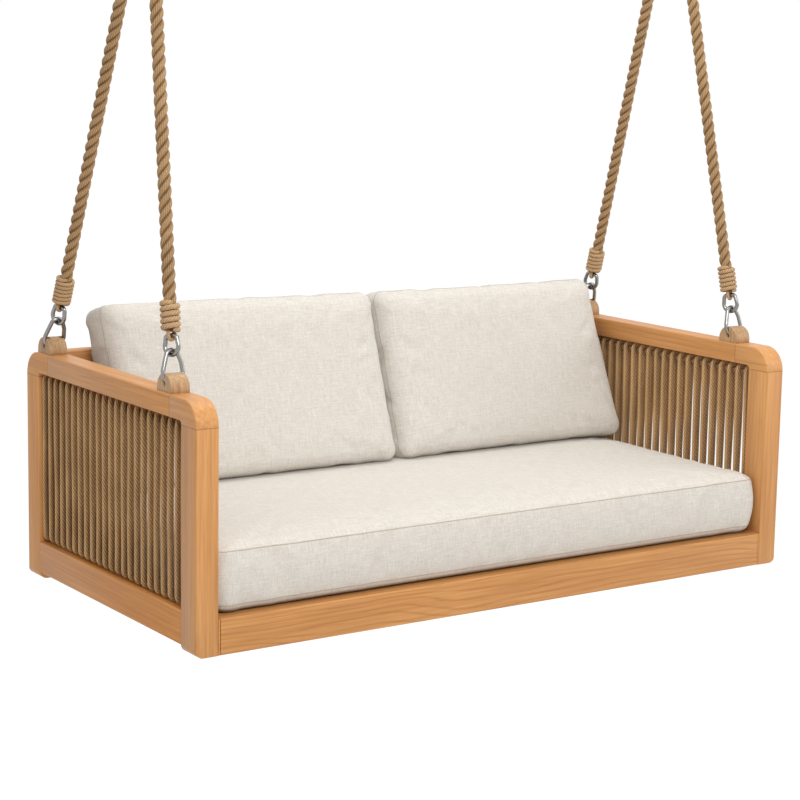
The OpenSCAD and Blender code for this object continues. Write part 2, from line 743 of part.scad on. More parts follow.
ceiling_plates();
pivot_bolts();
pivot_nuts();
hanger_tangs();
pivot_bushes();
master_ring(-1);  // master_ring_left
master_ring(1);  // master_ring_right
top_rings(-1);  // top_rings_left
top_rings(1);  // top_rings_right
top_whippings(-1);  // top_whippings_left
top_whippings(1);  // top_whippings_right
rope_eyes(-1);  // rope_eyes_left
rope_eyes(1);  // rope_eyes_right
rope(-1, whip_cord_front_left);  // rope_front_left
rope(1, whip_cord_rear_left);  // rope_rear_left
mirror([1, 0, 0]) rope(-1, whip_cord_right);  // rope_front_right
mirror([1, 0, 0]) rope(1, whip_cord_right);  // rope_rear_right
whipping(-1, 4.5, whip_cord_front_left);  // whipping_front_left
whipping(1, 6.5, whip_cord_rear_left);  // whipping_rear_left
mirror([1, 0, 0]) whipping(-1, 5.5, whip_cord_right);  // whipping_front_right
mirror([1, 0, 0]) whipping(1, 5.5, whip_cord_right);  // whipping_rear_right
rope_ring(-1);  // rope_ring_front_left
rope_ring(1);  // rope_ring_rear_left
mirror([1, 0, 0]) rope_ring(-1);  // rope_ring_front_right
mirror([1, 0, 0]) rope_ring(1);  // rope_ring_rear_right
link(-1);  // link_front_left
link(1);  // link_rear_left
mirror([1, 0, 0]) link(-1);  // link_front_right
mirror([1, 0, 0]) link(1);  // link_rear_right
saddle(-1);  // saddle_front_left
saddle(1);  // saddle_rear_left
mirror([1, 0, 0]) saddle(-1);  // saddle_front_right
mirror([1, 0, 0]) saddle(1);  // saddle_rear_right
post(-1);  // post_front_left
post(1);  // post_rear_left
mirror([1, 0, 0]) post(-1);  // post_front_right
mirror([1, 0, 0]) post(1);  // post_rear_right
corner_blocks(-1);  // corner_blocks_left
corner_blocks(1);  // corner_blocks_right
top_rail(-1);  // top_rail_left
top_rail(1);  // top_rail_right
bottom_rail(-1);  // bottom_rail_left
bottom_rail(1);  // bottom_rail_right
arm_tenons();
cord_rods();
cord_panel(-1);  // cord_panel_left
cord_panel(1);  // cord_panel_right
front_rail();
back_rail();
back_top_rail();
back_rods();
back_cords();
seat_side_rails();
slat_supports();
seat_slats();
frame_screws();
seat_cushion();
back_cushion(-seat_in + cushion_left_gap, cushion_split - 8);  // back_cushion_left
back_cushion(cushion_split + 8.5, seat_in - 8.5);  // back_cushion_right
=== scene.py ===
# Hanging swing bed: a wooden daybed with cord-wound arms and loose linen cushions,
# slung from two ceiling plates by four whipped ropes. Metres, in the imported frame.
import math

import bpy
import numpy as np
from mathutils import Matrix, Vector


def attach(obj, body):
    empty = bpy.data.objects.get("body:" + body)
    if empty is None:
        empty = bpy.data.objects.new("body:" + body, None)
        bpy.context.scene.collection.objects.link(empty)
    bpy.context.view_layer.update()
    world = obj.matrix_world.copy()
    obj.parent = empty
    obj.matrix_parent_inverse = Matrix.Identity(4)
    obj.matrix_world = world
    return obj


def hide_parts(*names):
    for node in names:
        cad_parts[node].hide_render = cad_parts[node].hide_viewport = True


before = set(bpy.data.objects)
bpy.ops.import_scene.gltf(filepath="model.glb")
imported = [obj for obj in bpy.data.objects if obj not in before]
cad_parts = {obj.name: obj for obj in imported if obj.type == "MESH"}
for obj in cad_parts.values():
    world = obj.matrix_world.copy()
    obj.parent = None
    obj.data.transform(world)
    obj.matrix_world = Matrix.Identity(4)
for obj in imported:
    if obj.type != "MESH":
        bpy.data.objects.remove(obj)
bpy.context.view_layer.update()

# --- Camera ----------------------------------------------------------------------------
# The camera stands at the front left, a little above the arms, with a long lens. The bed
# hangs tipped back a little about the height where its ropes meet, and the camera is
# tipped with it. Bed places are right, back and up from the middle of the bed's feet.
ceiling_above_feet = 2.052
ropes_meet_up = 1.880
ropes_meet_ahead = 0.050
tipped = math.radians(3.55)
bed_frame = Matrix.Translation((0, 0, ropes_meet_up - ceiling_above_feet)) \
    @ Matrix.Rotation(-tipped, 4, "X") @ Matrix.Translation((0, ropes_meet_ahead, -ropes_meet_up))


def in_bed(right, back, up):
    """A place on the bed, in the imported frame."""
    return bed_frame @ Vector((right, back, up))


photo_size = 800
focal_pixels = 2135.2
lens_axis_pixel = (421.4, 377.9)
film_width = 36
camera_place = (-3.1922, -4.6467, 1.4400)
yaw, pitch, roll = (math.radians(angle) for angle in (34.690, -9.2526, 1.1272))
ahead = Vector((math.sin(yaw) * math.cos(pitch), math.cos(yaw) * math.cos(pitch), math.sin(pitch)))
level = Vector((math.cos(yaw), -math.sin(yaw), 0))
above = level.cross(ahead)
picture_right = math.cos(roll) * level + math.sin(roll) * above
picture_up = math.cos(roll) * above - math.sin(roll) * level
turned = Matrix((picture_right, picture_up, -ahead)).transposed().to_4x4()
camera = bpy.data.objects.new("camera", bpy.data.cameras.new("camera"))
bpy.context.scene.collection.objects.link(camera)
camera.matrix_world = bed_frame @ Matrix.Translation(camera_place) @ turned
camera.data.sensor_width = film_width
camera.data.lens = film_width * focal_pixels / photo_size
camera.data.shift_x = (photo_size / 2 - lens_axis_pixel[0]) / photo_size
camera.data.shift_y = (lens_axis_pixel[1] - photo_size / 2) / photo_size
camera.data.clip_end = 100
bpy.context.scene.camera = camera

# --- Ropes -----------------------------------------------------------------------------
# Four three-strand laid ropes of twisted natural-coloured fibre. The two of a side rise
# from the arm's front and rear and meet in one steel ring under a ceiling plate.
strand_radius = 0.0079
strand_out = 0.0084
lay_length = 0.0835
hang_half = 0.806          # from the bed's middle to a master ring's top
ring_top_up = 1.968        # that top above the feet, on the middle of the ring's wire
master_radius = 0.044
link_out = 0.8795          # from the bed's middle to the saddles' holes
pin_up = 0.618
hole_back = {"front": -0.293, "rear": 0.366}
pin_to_ring = 0.06655      # up the rope from a saddle's hole to the foot of its ring
over_master = 0.0131       # the top rings reach this far above the master ring's foot
side_step = 0.0058         # the two top rings hang this far off the master ring's foot
rope_ring_long = 0.0453    # a lower ring from its round foot to its straight bar
top_ring_long = 0.096      # an upper one from its round top to its bar
whipping_low = 0.052       # a lower whipping starts this far above its ring's foot
whipping_long = 0.076
lean_in = math.atan2(link_out - hang_half, ring_top_up - pin_up)
apex_out = hang_half + 2 * master_radius * math.sin(lean_in)
apex_up = ring_top_up - 2 * master_radius * math.cos(lean_in)


class Socket:
    """An output in one material's node tree, so that shader sums read as Python sums."""

    def __init__(self, tree, output=None):
        self.tree, self.output = tree, output

    def node(self, kind, settings=None, sockets=None, out=0):
        """Adds a node, applies its settings, feeds its sockets and gives one output."""
        made = self.tree.nodes.new("ShaderNode" + kind)
        for name, value in (settings or {}).items():
            setattr(made, name, value)
        for name, value in (sockets or {}).items():
            if isinstance(value, Socket):
                self.tree.links.new(value.output, made.inputs[name])
            else:
                made.inputs[name].default_value = value
        return Socket(self.tree, made.outputs[out])

    def maths(self, operation, first, second=0.0):
        return self.node("Math", {"operation": operation}, {0: first, 1: second})

    def __add__(self, other):
        return self.maths("ADD", self, other)

    __radd__ = __add__

    def __sub__(self, other):
        return self.maths("SUBTRACT", self, other)

    def __rsub__(self, other):
        return self.maths("SUBTRACT", other, self)

    def __mul__(self, other):
        return self.maths("MULTIPLY", self, other)

    __rmul__ = __mul__

    def __pow__(self, other):
        return self.maths("POWER", self, other)

    def __abs__(self):
        return self.maths("ABSOLUTE", self)

    def sine(self):
        return self.maths("SINE", self)

    def clipped(self):
        return self.node("Clamp", None, {"Value": self})

    def parts(self):
        """The x, y and z of a vector."""
        return [self.node("SeparateXYZ", None, {0: self}, axis) for axis in range(3)]

    def vector(self, x, y, z=0.0):
        return self.node("CombineXYZ", None, {0: x, 1: y, 2: z})

    def noise(self, place, scale, detail, roughness=0.55):
        """Noise from 0 to 1 at a vector."""
        return self.node("TexNoise", None, {
            "Vector": place, "Scale": scale, "Detail": detail, "Roughness": roughness})

    def blend(self, share, low, high):
        """Colour between low and high, by share."""
        return self.node("Mix", {"data_type": "RGBA"}, {0: share, 6: low, 7: high}, 2)


def finish(name, roughness):
    """A new material, the start of its node tree, and its shader."""
    material = bpy.data.materials.new(name)
    material.use_nodes = True
    shader = material.node_tree.nodes["Principled BSDF"]
    shader.inputs["Roughness"].default_value = roughness
    return material, Socket(material.node_tree), shader


def feed(source, shader, name):
    source.tree.links.new(source.output, shader.inputs[name])


def bumped(height, shader, strength, distance):
    """Raises the shader's surface by a height from 0 to 1."""
    feed(height.node("Bump", None, {
        "Strength": strength, "Distance": distance, "Height": height}), shader, "Normal")


def fibre(name, dark, light, yarns, slant, speckle, depth):
    """Twisted fibre: yarns run slantwise round a cord whose UV is turns and metres."""
    material, tree, shader = finish(name, 0.85)
    turn, along, _ = tree.node("UVMap", {"uv_map": "lay"}).parts()
    loose = tree.noise(tree.vector(turn * 3, along * 60), 1.0, 3.0)
    ridge = ((turn * yarns + along * slant + loose * 0.5) * (2 * math.pi)).sine() * 0.5 + 0.5
    place = tree.node("TexCoord", out="Object")
    fleck = tree.noise(place, speckle, 4.0, 0.65)
    broad = tree.noise(place, 9.0, 2.0)
    # painted shade: the colour darkens where the mesh marks the shade of the rope's grooves or of a
    # cord's neighbours
    painted_shade = tree.node("Attribute", {"attribute_name": "painted_shade"}, out="Fac")
    tone = (ridge * 0.42 + fleck * 0.9 + broad * 0.4 - 0.37 - painted_shade * 0.75).clipped()
    feed(tree.blend(tone, (*dark, 1), (*light, 1)), shader, "Base Color")
    shader.inputs["Sheen Weight"].default_value = 0.1
    shader.inputs["Specular IOR Level"].default_value = 0.2
    bumped(ridge * 0.7 + fleck * 0.5, shader, 0.9, depth)
    return material


def tubes(name, paths, radii, sides, material, closed=False, lay=None):
    """Round tubes along paths as one smooth mesh. Its UV is turns round and metres along;
    lay = (strands, lay length, depth) grooves the tube like a laid cord."""
    points, faces, corners = [], [], []
    for path, radius in zip(paths, radii):
        path = np.asarray(path, float)
        count = len(path)
        step = np.roll(path, -1, 0) - np.roll(path, 1, 0) if closed else np.gradient(path, axis=0)
        step /= np.linalg.norm(step, axis=1)[:, None]
        out = np.cross(step[0], (0, 0, 1) if abs(step[0][2]) < 0.8 else (1, 0, 0))
        outs = []
        for forward in step:
            out = out - forward * (out @ forward)
            out /= np.linalg.norm(out)
            outs.append(out)
        outs = np.array(outs)
        sideways = np.cross(step, outs)
        gaps = np.linalg.norm(np.diff(path, axis=0), axis=1)
        along = np.concatenate([[0], np.cumsum(gaps)])
        wide = np.broadcast_to(np.asarray(radius, float), (count,))[:, None]
        angle = np.arange(sides)[None, :] * 2 * math.pi / sides
        if lay:
            strands, length, depth = lay
            twist = strands * (angle - along[:, None] * 2 * math.pi / length)
            wide = wide * (1 + depth * (2 * np.abs(np.cos(twist / 2)) - 1.5))
        ring = (np.cos(angle) * wide)[:, :, None] * outs[:, None, :] \
            + (np.sin(angle) * wide)[:, :, None] * sideways[:, None, :]
        base = sum(len(p) for p in points)
        points.append((path[:, None, :] + ring).reshape(-1, 3))
        rows = count if closed else count - 1
        whole = along[-1] + (np.linalg.norm(path[0] - path[-1]) if closed else 0)
        for i in range(rows):
            j = (i + 1) % count
            low, high = along[i], along[j] if j else whole
            for k in range(sides):
                m = (k + 1) % sides
                faces.append((base + i * sides + k, base + i * sides + m,
                              base + j * sides + m, base + j * sides + k))
                u0, u1 = k / sides, (k + 1) / sides
                corners += [u0, low, u1, low, u1, high, u0, high]
        if not closed:
            faces.append(tuple(base + k for k in reversed(range(sides))))
            faces.append(tuple(base + (count - 1) * sides + k for k in range(sides)))
            corners += [0.0, 0.0] * (2 * sides)
    mesh = bpy.data.meshes.new(name)
    mesh.from_pydata(np.concatenate(points).tolist(), [], faces)
    mesh.uv_layers.new(name="lay").data.foreach_set("uv", np.array(corners, np.float32))
    mesh.polygons.foreach_set("use_smooth", [True] * len(mesh.polygons))
    mesh.materials.append(material)
    made = bpy.data.objects.new(name, mesh)
    bpy.context.scene.collection.objects.link(made)
    return made


def points_of(thing):
    """The points of an object's mesh, one row each."""
    found = np.zeros(len(thing.data.vertices) * 3)
    thing.data.vertices.foreach_get("co", found)
    return found.reshape(-1, 3)


def mark(thing, name, shares):
    """Gives each point of a mesh a share from 0 to 1, which its material reads by name."""
    thing.data.attributes.new(name, "FLOAT", "POINT").data.foreach_set(
        "value", shares.astype(np.float32))


class RopeLine:
    """The straight line of one rope, measured up from the foot of its lower ring."""

    def __init__(self, side, end):
        self.side = side
        self.name = end + "_" + side
        self.body = "ropes_" + side
        sign = -1 if side == "left" else 1
        step = side_step if end == "rear" else -side_step
        pin = in_bed(sign * link_out, hole_back[end], pin_up)
        apex = Vector((sign * (apex_out - step), 0, apex_up - ceiling_above_feet))
        self.up = (apex - pin).normalized()
        self.low = pin + self.up * pin_to_ring
        self.span = (apex + self.up * over_master - self.low).length
        self.top_bar = self.span - top_ring_long
        # the upper whipping starts here, as far from its ring as the lower one
        self.top_whipping = self.top_bar + rope_ring_long - whipping_low - whipping_long
        turn = math.atan2(self.up.x, self.up.z)
        self.across = Vector((math.cos(turn), 0, -math.sin(turn)))
        self.back = self.up.cross(self.across)

    def at(self, across, back, up):
        return self.low + self.across * across + self.back * back + self.up * up


bed_sides = ("left", "right")
rope_lines = [RopeLine(side, end) for side in bed_sides for end in ("front", "rear")]


def pair_of(side):
    """The front and rear rope of a side."""
    return [line for line in rope_lines if line.side == side]


rope_fibre = fibre("rope fibre", (0.20, 0.110, 0.046), (0.62, 0.40, 0.205), 9, 120, 420, 0.0014)
inside_whipping = 0.016    # the strands run on this far inside each whipping
strand_step = 0.003
end_share, end_long = 0.62, 0.012         # a strand thins to this share over its last stretch
hollow_out, hollow_in = 0.0150, 0.0095    # painted shade in the grooves begins and is full this far from the core
for line in rope_lines:
    start = whipping_low + whipping_long - inside_whipping
    stop = line.top_whipping + inside_whipping
    heights = np.arange(start, stop, strand_step)
    near_end = np.minimum(heights - start, heights[-1] - heights)
    full = end_share + (1 - end_share) * np.clip(near_end / end_long, 0, 1) ** 0.7
    strands = []
    for strand in range(3):
        angle = 2 * math.pi * (heights / lay_length + strand / 3)
        strands.append([line.at(strand_out * f * math.cos(a), strand_out * f * math.sin(a), h)
                        for a, f, h in zip(angle, full, heights)])
    rope = tubes("rope_" + line.name + "_laid", strands, [strand_radius * full] * 3, 14,
                 rope_fibre)
    # painted shade: each strand is darkened where it lies deep in the rope's grooves
    skin = points_of(rope) - np.array(line.low)
    up = np.array(line.up)
    from_core = np.linalg.norm(skin - np.outer(skin @ up, up), axis=1)
    mark(rope, "painted_shade", np.clip((hollow_out - from_core) / (hollow_out - hollow_in), 0, 1))
    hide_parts("rope_" + line.name)
    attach(rope, line.body)
    middle = [line.at(0, 0, h) for h in np.linspace(start, heights[-1], 40)]

# --- Whippings -------------------------------------------------------------------------
# Each rope end is bound by one cord wound tight round it: 4.5 thick turns at the front
# left, 6.5 thin ones at the rear left and under the ceiling, and 5.5 on the right.
whipping_out = 0.0245      # outer radius
tuck_turns, tuck_in = 0.2, 0.010    # each end of the cord tucks inward over part of a turn
whipping_fibre = fibre("whipping cord", (0.28, 0.165, 0.078), (0.70, 0.47, 0.26), 5, 150, 520,
                       0.0012)
turns_of = {"front_left": (4.5, 0.0132), "rear_left": (6.5, 0.0096),
            "front_right": (5.5, 0.0112), "rear_right": (5.5, 0.0112)}
top_turns, top_cord, top_lay = 6.5, 0.0098, 0.031
plies, ply_lay, ply_groove = 3, 3.2, 0.05    # ply_lay is in widths of the cord


def wound(line, low, turns, cord):
    """Path of a cord wound up a rope from a height, its two ends tucked inward."""
    rise = (whipping_long - cord) / turns
    path = []
    for angle in np.arange(-tuck_turns, turns + tuck_turns + 0.001, 1 / 40):
        tuck = max(0.0, -angle, angle - turns) / tuck_turns
        out = whipping_out - cord / 2 - tuck_in * tuck ** 1.5
        height = low + cord / 2 + rise * min(max(angle, 0), turns)
        path.append(line.at(out * math.cos(2 * math.pi * angle),
                            out * math.sin(2 * math.pi * angle), height))
    return path


for line in rope_lines:
    turns, cord = turns_of[line.name]
    lower = tubes("whipping_" + line.name + "_wound", [wound(line, whipping_low, turns, cord)],
                  [cord / 2], 14, whipping_fibre, lay=(plies, cord * ply_lay, ply_groove))
    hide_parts("whipping_" + line.name)
    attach(lower, line.body)
for side in bed_sides:
    upper = tubes("top_whippings_" + side + "_wound",
                  [wound(line, line.top_whipping, top_turns, top_cord) for line in pair_of(side)],
                  [top_cord / 2] * 2, 12, whipping_fibre, lay=(plies, top_lay, ply_groove))
    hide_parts("top_whippings_" + side)
    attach(upper, "ropes_" + side)

# --- Rope eyes -------------------------------------------------------------------------
# Below the lower whipping, and above the upper one, the rope's thinned end makes a small
# eye round the bar of its steel ring.
eye_radius = 0.0045        # of the thinned rope
eye_out = 0.0102           # from the bar to the middle of that rope
eye_leg = 0.009
ring_turn = math.radians(22)    # the lower rings of both sides are turned the same way
eye_bow = [(eye_out * math.cos(a), eye_out * math.sin(a)) for a in np.linspace(0, -math.pi, 17)]
eye = [(eye_out, eye_leg)] + eye_bow + [(-eye_out, eye_leg)]
for side in bed_sides:
    loops = []
    for line in pair_of(side):
        for height, way, turn in ((rope_ring_long, 1, ring_turn), (line.top_bar, -1, 0.0)):
            loops.append([line.at(x * math.cos(turn), x * math.sin(turn), height + way * z)
                          for x, z in eye])
    eyes = tubes("rope_eyes_" + side + "_laid", loops, [eye_radius] * len(loops), 12,
                 whipping_fibre)
    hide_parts("rope_eyes_" + side)
    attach(eyes, "ropes_" + side)

# --- Rings and pear links --------------------------------------------------------------
# Welded rings and pear-shaped links of satin stainless wire. A ring hangs in each rope
# eye, and a pear link joins it to the wooden saddle on the arm.
wire_radius = 0.0055
ring_round, top_ring_round = 0.020, 0.016
bar_half, bar_round = 0.009, 0.008    # the straight bar in the rope's eye, and its corners


def steel(name, colour, roughness):
    """Satin metal, a little uneven from handling."""
    material, tree, shader = finish(name, roughness)
    place = tree.node("TexCoord", out="Object")
    cloud = tree.noise(place, 70.0, 4.0)
    brushed = tree.noise(place, 900.0, 2.0)
    feed(tree.blend(cloud, (*[c * 0.72 for c in colour], 1), (*colour, 1)), shader, "Base Color")
    feed(cloud * 0.18 + (roughness - 0.09), shader, "Roughness")
    shader.inputs["Metallic"].default_value = 1
    bumped(brushed, shader, 0.25, 0.0002)
    return material


satin_steel = steel("satin steel", (0.33, 0.322, 0.31), 0.20)


def round_circles(circles):
    """Closed path round circles (x, y, radius), listed anticlockwise."""
    def touch(a, b):
        across, up = b[0] - a[0], b[1] - a[1]
        return math.atan2(up, across) - math.acos((a[2] - b[2]) / math.hypot(across, up))

    path, count = [], len(circles)
    for i, (x, y, radius) in enumerate(circles):
        first = touch(circles[i - 1], circles[i])
        sweep = (touch(circles[i], circles[(i + 1) % count]) - first) % (2 * math.pi)
        for angle in np.linspace(first, first + sweep, max(3, round(sweep / 0.12))):
            path.append((x + radius * math.cos(angle), y + radius * math.sin(angle)))
    return path


pear = round_circles([(0, 0.026, 0.026), (0, 0.044, 0.0232), (0, 0.062, 0.016)])
eye_ring = round_circles([(0, ring_round, ring_round),
                          (bar_half, rope_ring_long - bar_round, bar_round),
                          (-bar_half, rope_ring_long - bar_round, bar_round)])
top_ring = round_circles([(-bar_half, bar_round - top_ring_long, bar_round),
                          (bar_half, bar_round - top_ring_long, bar_round),
                          (0, -top_ring_round, top_ring_round)])
for line in rope_lines:
    link = tubes("link_" + line.name + "_welded",
                 [[line.at(x, 0, z - pin_to_ring) for x, z in pear]],
                 [wire_radius], 20, satin_steel, closed=True)
    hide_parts("link_" + line.name)
    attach(link, "bed")
    ring = tubes("rope_ring_" + line.name + "_welded",
                 [[line.at(-y * math.sin(ring_turn), y * math.cos(ring_turn), z)
                   for y, z in eye_ring]],
                 [wire_radius], 20, satin_steel, closed=True)
    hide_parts("rope_ring_" + line.name)
    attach(ring, line.body)
for side in bed_sides:
    rings = tubes("top_rings_" + side + "_welded",
                  [[line.at(0, y, line.span + z) for y, z in top_ring] for line in pair_of(side)],
                  [wire_radius] * 2, 20, satin_steel, closed=True)
    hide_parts("top_rings_" + side)
    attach(rings, "ropes_" + side)

# --- Ceiling hangers -------------------------------------------------------------------
# Two steel plates for the ceiling, each with a bolted tang that swings on a bronze bush
# and carries the master ring. They hang above the photograph's upper edge.


def dress(nodes, material):
    """Gives CAD nodes one material."""
    for node in nodes:
        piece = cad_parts[node]
        piece.data.materials.clear()
        piece.data.materials.append(material)


plate_steel = steel("plate steel", (0.42, 0.42, 0.42), 0.38)
dress(["ceiling_plates", "pivot_bolts", "pivot_nuts", "hanger_tangs"], plate_steel)
dress(["master_ring_left", "master_ring_right"], satin_steel)
dress(["pivot_bushes"], steel("bush bronze", (0.62, 0.42, 0.20), 0.35))

# --- Wooden frame ----------------------------------------------------------------------
# Square-edged members of oiled, honey-coloured solid wood, tenoned and bolted. Each arm is
# two posts and two rails, with a block in each upper corner. Grain runs along a member.
growth_lines = 62    # to a metre across the grain
glue_full, glue_gone = 0.00064, 0.00144    # a glue line is dark up to here, and ends here


def wood(name, along, dark, light, shift=0.0, joints=(), figure=0.26):
    """Oiled solid wood whose grain runs along one axis of the bed: 0, 1 or 2.
    joints lists an axis and a distance from the middle where a fine dark glue line runs,
    and figure is how strongly its growth lines show."""
    material, tree, shader = finish(name, 0.42)
    place = tree.node("Mapping", None, {
        "Vector": tree.node("TexCoord", out="Object"), "Rotation": (tipped, 0, 0),
        "Location": bed_frame.inverted().translation})
    axes = place.parts()
    length = axes[along] + shift
    first, second = [axis for k, axis in enumerate(axes) if k != along]

    def grain(across, lengthwise, detail, roughness=0.55):
        """Noise of so many grains to a metre, across and along the wood."""
        return tree.noise(tree.vector(first * across, second * across, length * lengthwise),
                          1.0, detail, roughness)

    drift, wander = grain(5, 1.1, 2.0), grain(26, 1.7, 2.0)
    late = first * 0.8 + second * 1.1 + length * 0.012 + drift * 0.16 + wander * 0.022
    late = ((late * (2 * math.pi * growth_lines)).sine() * 0.5 + 0.5) ** 5.0
    streak = grain(130, 3, 3.0, 0.6)
    fibres = grain(420, 7, 4.0, 0.7)
    pores = grain(900, 26, 2.0, 0.6)
    cloud = grain(9, 2.2, 3.0)
    tone = (fibres * 0.7 + streak * 1.1 + cloud * 0.9 - late * cloud * figure - 0.82).clipped()
    colour = tree.blend(tone, (*dark, 1), (*light, 1))
    worn = ((pores - 0.62) * 6).clipped() * 0.35
    for axis, far in joints:
        glue = (glue_gone - abs(abs(axes[axis]) - far)) * (1 / (glue_gone - glue_full))
        worn = worn + glue.clipped() * 0.55
    feed(tree.blend(worn.clipped(), colour, (*[c * 0.35 for c in dark], 1)), shader, "Base Color")
    feed(fibres * 0.16 + 0.36, shader, "Roughness")
    shader.inputs["Specular IOR Level"].default_value = 0.35
    bumped(fibres * 0.7 - worn, shader, 0.18, 0.0004)
    return material


def softened(nodes, width, segments=2, angle=40):
    """Eases the sharp arrises of CAD nodes by a bevel of that width."""
    for node in nodes:
        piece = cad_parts[node]
        weld = piece.modifiers.new("weld", "WELD")
        weld.merge_threshold = 0.00002
        bevel = piece.modifiers.new("eased edges", "BEVEL")
        bevel.width = width
        bevel.segments = segments
        bevel.limit_method = "ANGLE"
        bevel.angle_limit = math.radians(angle)
        piece.data.polygons.foreach_set("use_smooth", [True] * len(piece.data.polygons))


corner_joint, post_joint, rail_end = 0.330, 0.538, 0.388
wood_x = wood("honey wood along the bed", 0, (0.45, 0.195, 0.062), (0.74, 0.385, 0.145))
wood_y = wood("honey wood front to back", 1, (0.43, 0.178, 0.052), (0.71, 0.355, 0.124),
              shift=3.1, joints=[(1, corner_joint)])
low_rail_wood = wood("honey wood low rail", 1, (0.42, 0.160, 0.036), (0.70, 0.318, 0.088),
                     shift=4.7, joints=[(1, rail_end)])
wood_z = wood("honey wood upright", 2, (0.43, 0.183, 0.056), (0.71, 0.365, 0.133),
              shift=1.7, joints=[(2, post_joint)])
corner_wood = wood("honey wood corner", 1, (0.45, 0.192, 0.059), (0.73, 0.375, 0.136),
                   shift=7.9, joints=[(1, corner_joint), (2, post_joint)])
front_rail_wood = wood("honey wood front rail", 0, (0.405, 0.168, 0.049), (0.69, 0.345, 0.12),
                       shift=2.3, figure=0.6)
posts = ["post_front_left", "post_rear_left", "post_front_right", "post_rear_right"]
corners = ["corner_blocks_left", "corner_blocks_right"]
top_rails = ["top_rail_left", "top_rail_right"]
bottom_rails = ["bottom_rail_left", "bottom_rail_right"]
long_rails = ["front_rail", "back_rail", "back_top_rail"]
dress(posts, wood_z)
dress(corners, corner_wood)
dress(top_rails + ["seat_side_rails", "arm_tenons"], wood_y)
dress(bottom_rails, low_rail_wood)
dress(["back_rail", "back_top_rail", "slat_supports"], wood_x)
dress(["front_rail"], front_rail_wood)
dress(["frame_screws"], plate_steel)
softened(posts + corners + top_rails + bottom_rails + long_rails, 0.0009)

# --- Slats and rods --------------------------------------------------------------------
# Thirteen plain slats of pale wood, laid front to back, carry the seat cushion. Round
# rods of darker wood hold the cord in the arms and in the back.
rod_dark, rod_light = (0.25, 0.15, 0.08), (0.42, 0.27, 0.15)
dress(["seat_slats"], wood("pale slat wood", 1, (0.46, 0.30, 0.16), (0.70, 0.50, 0.30), shift=5.3))
dress(["cord_rods"], wood("arm rod wood", 1, rod_dark, rod_light))
dress(["back_rods"], wood("back rod wood", 0, rod_dark, rod_light))
softened(["seat_slats", "slat_supports", "seat_side_rails"], 0.0012)

# --- Saddles ---------------------------------------------------------------------------
# Round-topped blocks of paler end-grained wood, screwed to the arms from below. A pear
# link passes through each, and its legs lie in two grooves.
saddles = ["saddle_front_left", "saddle_rear_left", "saddle_front_right", "saddle_rear_right"]
dress(saddles, wood("pale saddle wood", 2, (0.26, 0.135, 0.055), (0.62, 0.41, 0.225), shift=0.4))
softened(saddles, 0.0016, segments=3, angle=35)

# --- Cord panels -----------------------------------------------------------------------
# One tan twisted cord is wound over the upper and under the lower rod of each arm, rear
# to front, and another round the two rods of the back.
cord_wide = 0.0125
cord_swell = 0.0007          # an arm's cord is this much fatter in radius than the solid
cord_waver = 0.0008          # how far the runs bow out of line
cord_shade = 0.45            # how dark the painted shade on the sides of the runs is
panel_out = 0.016            # from a rod's middle to the middle of the cord round it
bend_round = 0.6             # 1 is a half circle, and less is squarer
arm_out = 0.880
arm_rods = (0.125, 0.523)
arm_turns = 22
post_inner = 0.388
both_gaps = 0.017            # from the posts to the middles of the first and last runs
arm_gap, back_gap = 0.0086, 0.009       # the gap at the first run
arm_step = (2 * post_inner - both_gaps) / arm_turns
arm_start = post_inner - arm_gap
back_depth = 0.404
back_rods = (0.114, 0.517)
back_turns = 48
back_span = 1.660
back_step = (back_span - both_gaps) / back_turns
back_start = back_span / 2 - back_gap
cord_fibre = fibre("panel cord", (0.20, 0.108, 0.045), (0.86, 0.54, 0.255), 6, 92, 430, 0.0016)


def bend(rod, way, before, after, start=0.0):
    """The cord's turn over the upper rod (way 1) or under the lower one (-1), from one
    place along it to another, squared as of a cord pulled tight behind a rail."""
    turn = []
    for a in np.linspace(start, math.pi, 13):
        share = math.cos(a)
        turn.append((way * math.copysign(abs(share) ** bend_round, share),
                     (before + after) / 2 + (before - after) / 2 * share,
                     rod + way * panel_out * abs(math.sin(a)) ** bend_round))
    return turn


def run(depth, start, stop, bow):
    """A run between two (place, height) points, bowed a little out of line."""
    return [(depth, start[0] + (stop[0] - start[0]) * t + bow[0] * math.sin(math.pi * t)
             + bow[1] * math.sin(2 * math.pi * t), start[1] + (stop[1] - start[1]) * t)
            for t in np.linspace(0, 1, 24)[1:-1]]


def panel_route(count, first, step, low, high, slant, seed):
    """Route (depth, place, height) of a cord wound round two rods, in small steps: it goes
    straight down outside, and up inside on a slant between two shares of the step. One
    more run outside ends it."""
    shake = np.random.default_rng(seed)
    outer = first
    route = bend(high, 1, outer, outer, math.pi / 2)
    for _ in range(count):
        foot, head = outer - step * slant[0], outer - step * slant[1]
        route += run(-1, (outer, high), (outer, low), shake.normal(0, cord_waver, 2))
        route += bend(low, -1, outer, foot)
        route += run(1, (foot, low), (head, high), shake.normal(0, cord_waver, 2))
        outer -= step
        route += bend(high, 1, head, outer)
    route += run(-1, (outer, high), (outer, low), (0.0, 0.0))
    return route


def shaded_sides(panel, path, along_bed):
    """Paints shade on the sides of the runs that face their neighbours, where little light comes.
    """
    centres = np.repeat(np.array(path), len(panel.data.vertices) // len(path), axis=0)
    aside = np.abs((points_of(panel) - centres) @ np.array(along_bed)) / (cord_wide / 2)
    mark(panel, "painted_shade", np.clip(2 * aside - 1, 0, 1) * cord_shade)


def evened(path, gap):
    """The path's points spaced evenly."""
    path = np.asarray(path, float)
    along = np.concatenate([[0], np.cumsum(np.linalg.norm(np.diff(path, axis=0), axis=1))])
    places = np.linspace(0, along[-1], round(along[-1] / gap))
    return np.stack([np.interp(places, along, path[:, k]) for k in range(3)], 1)


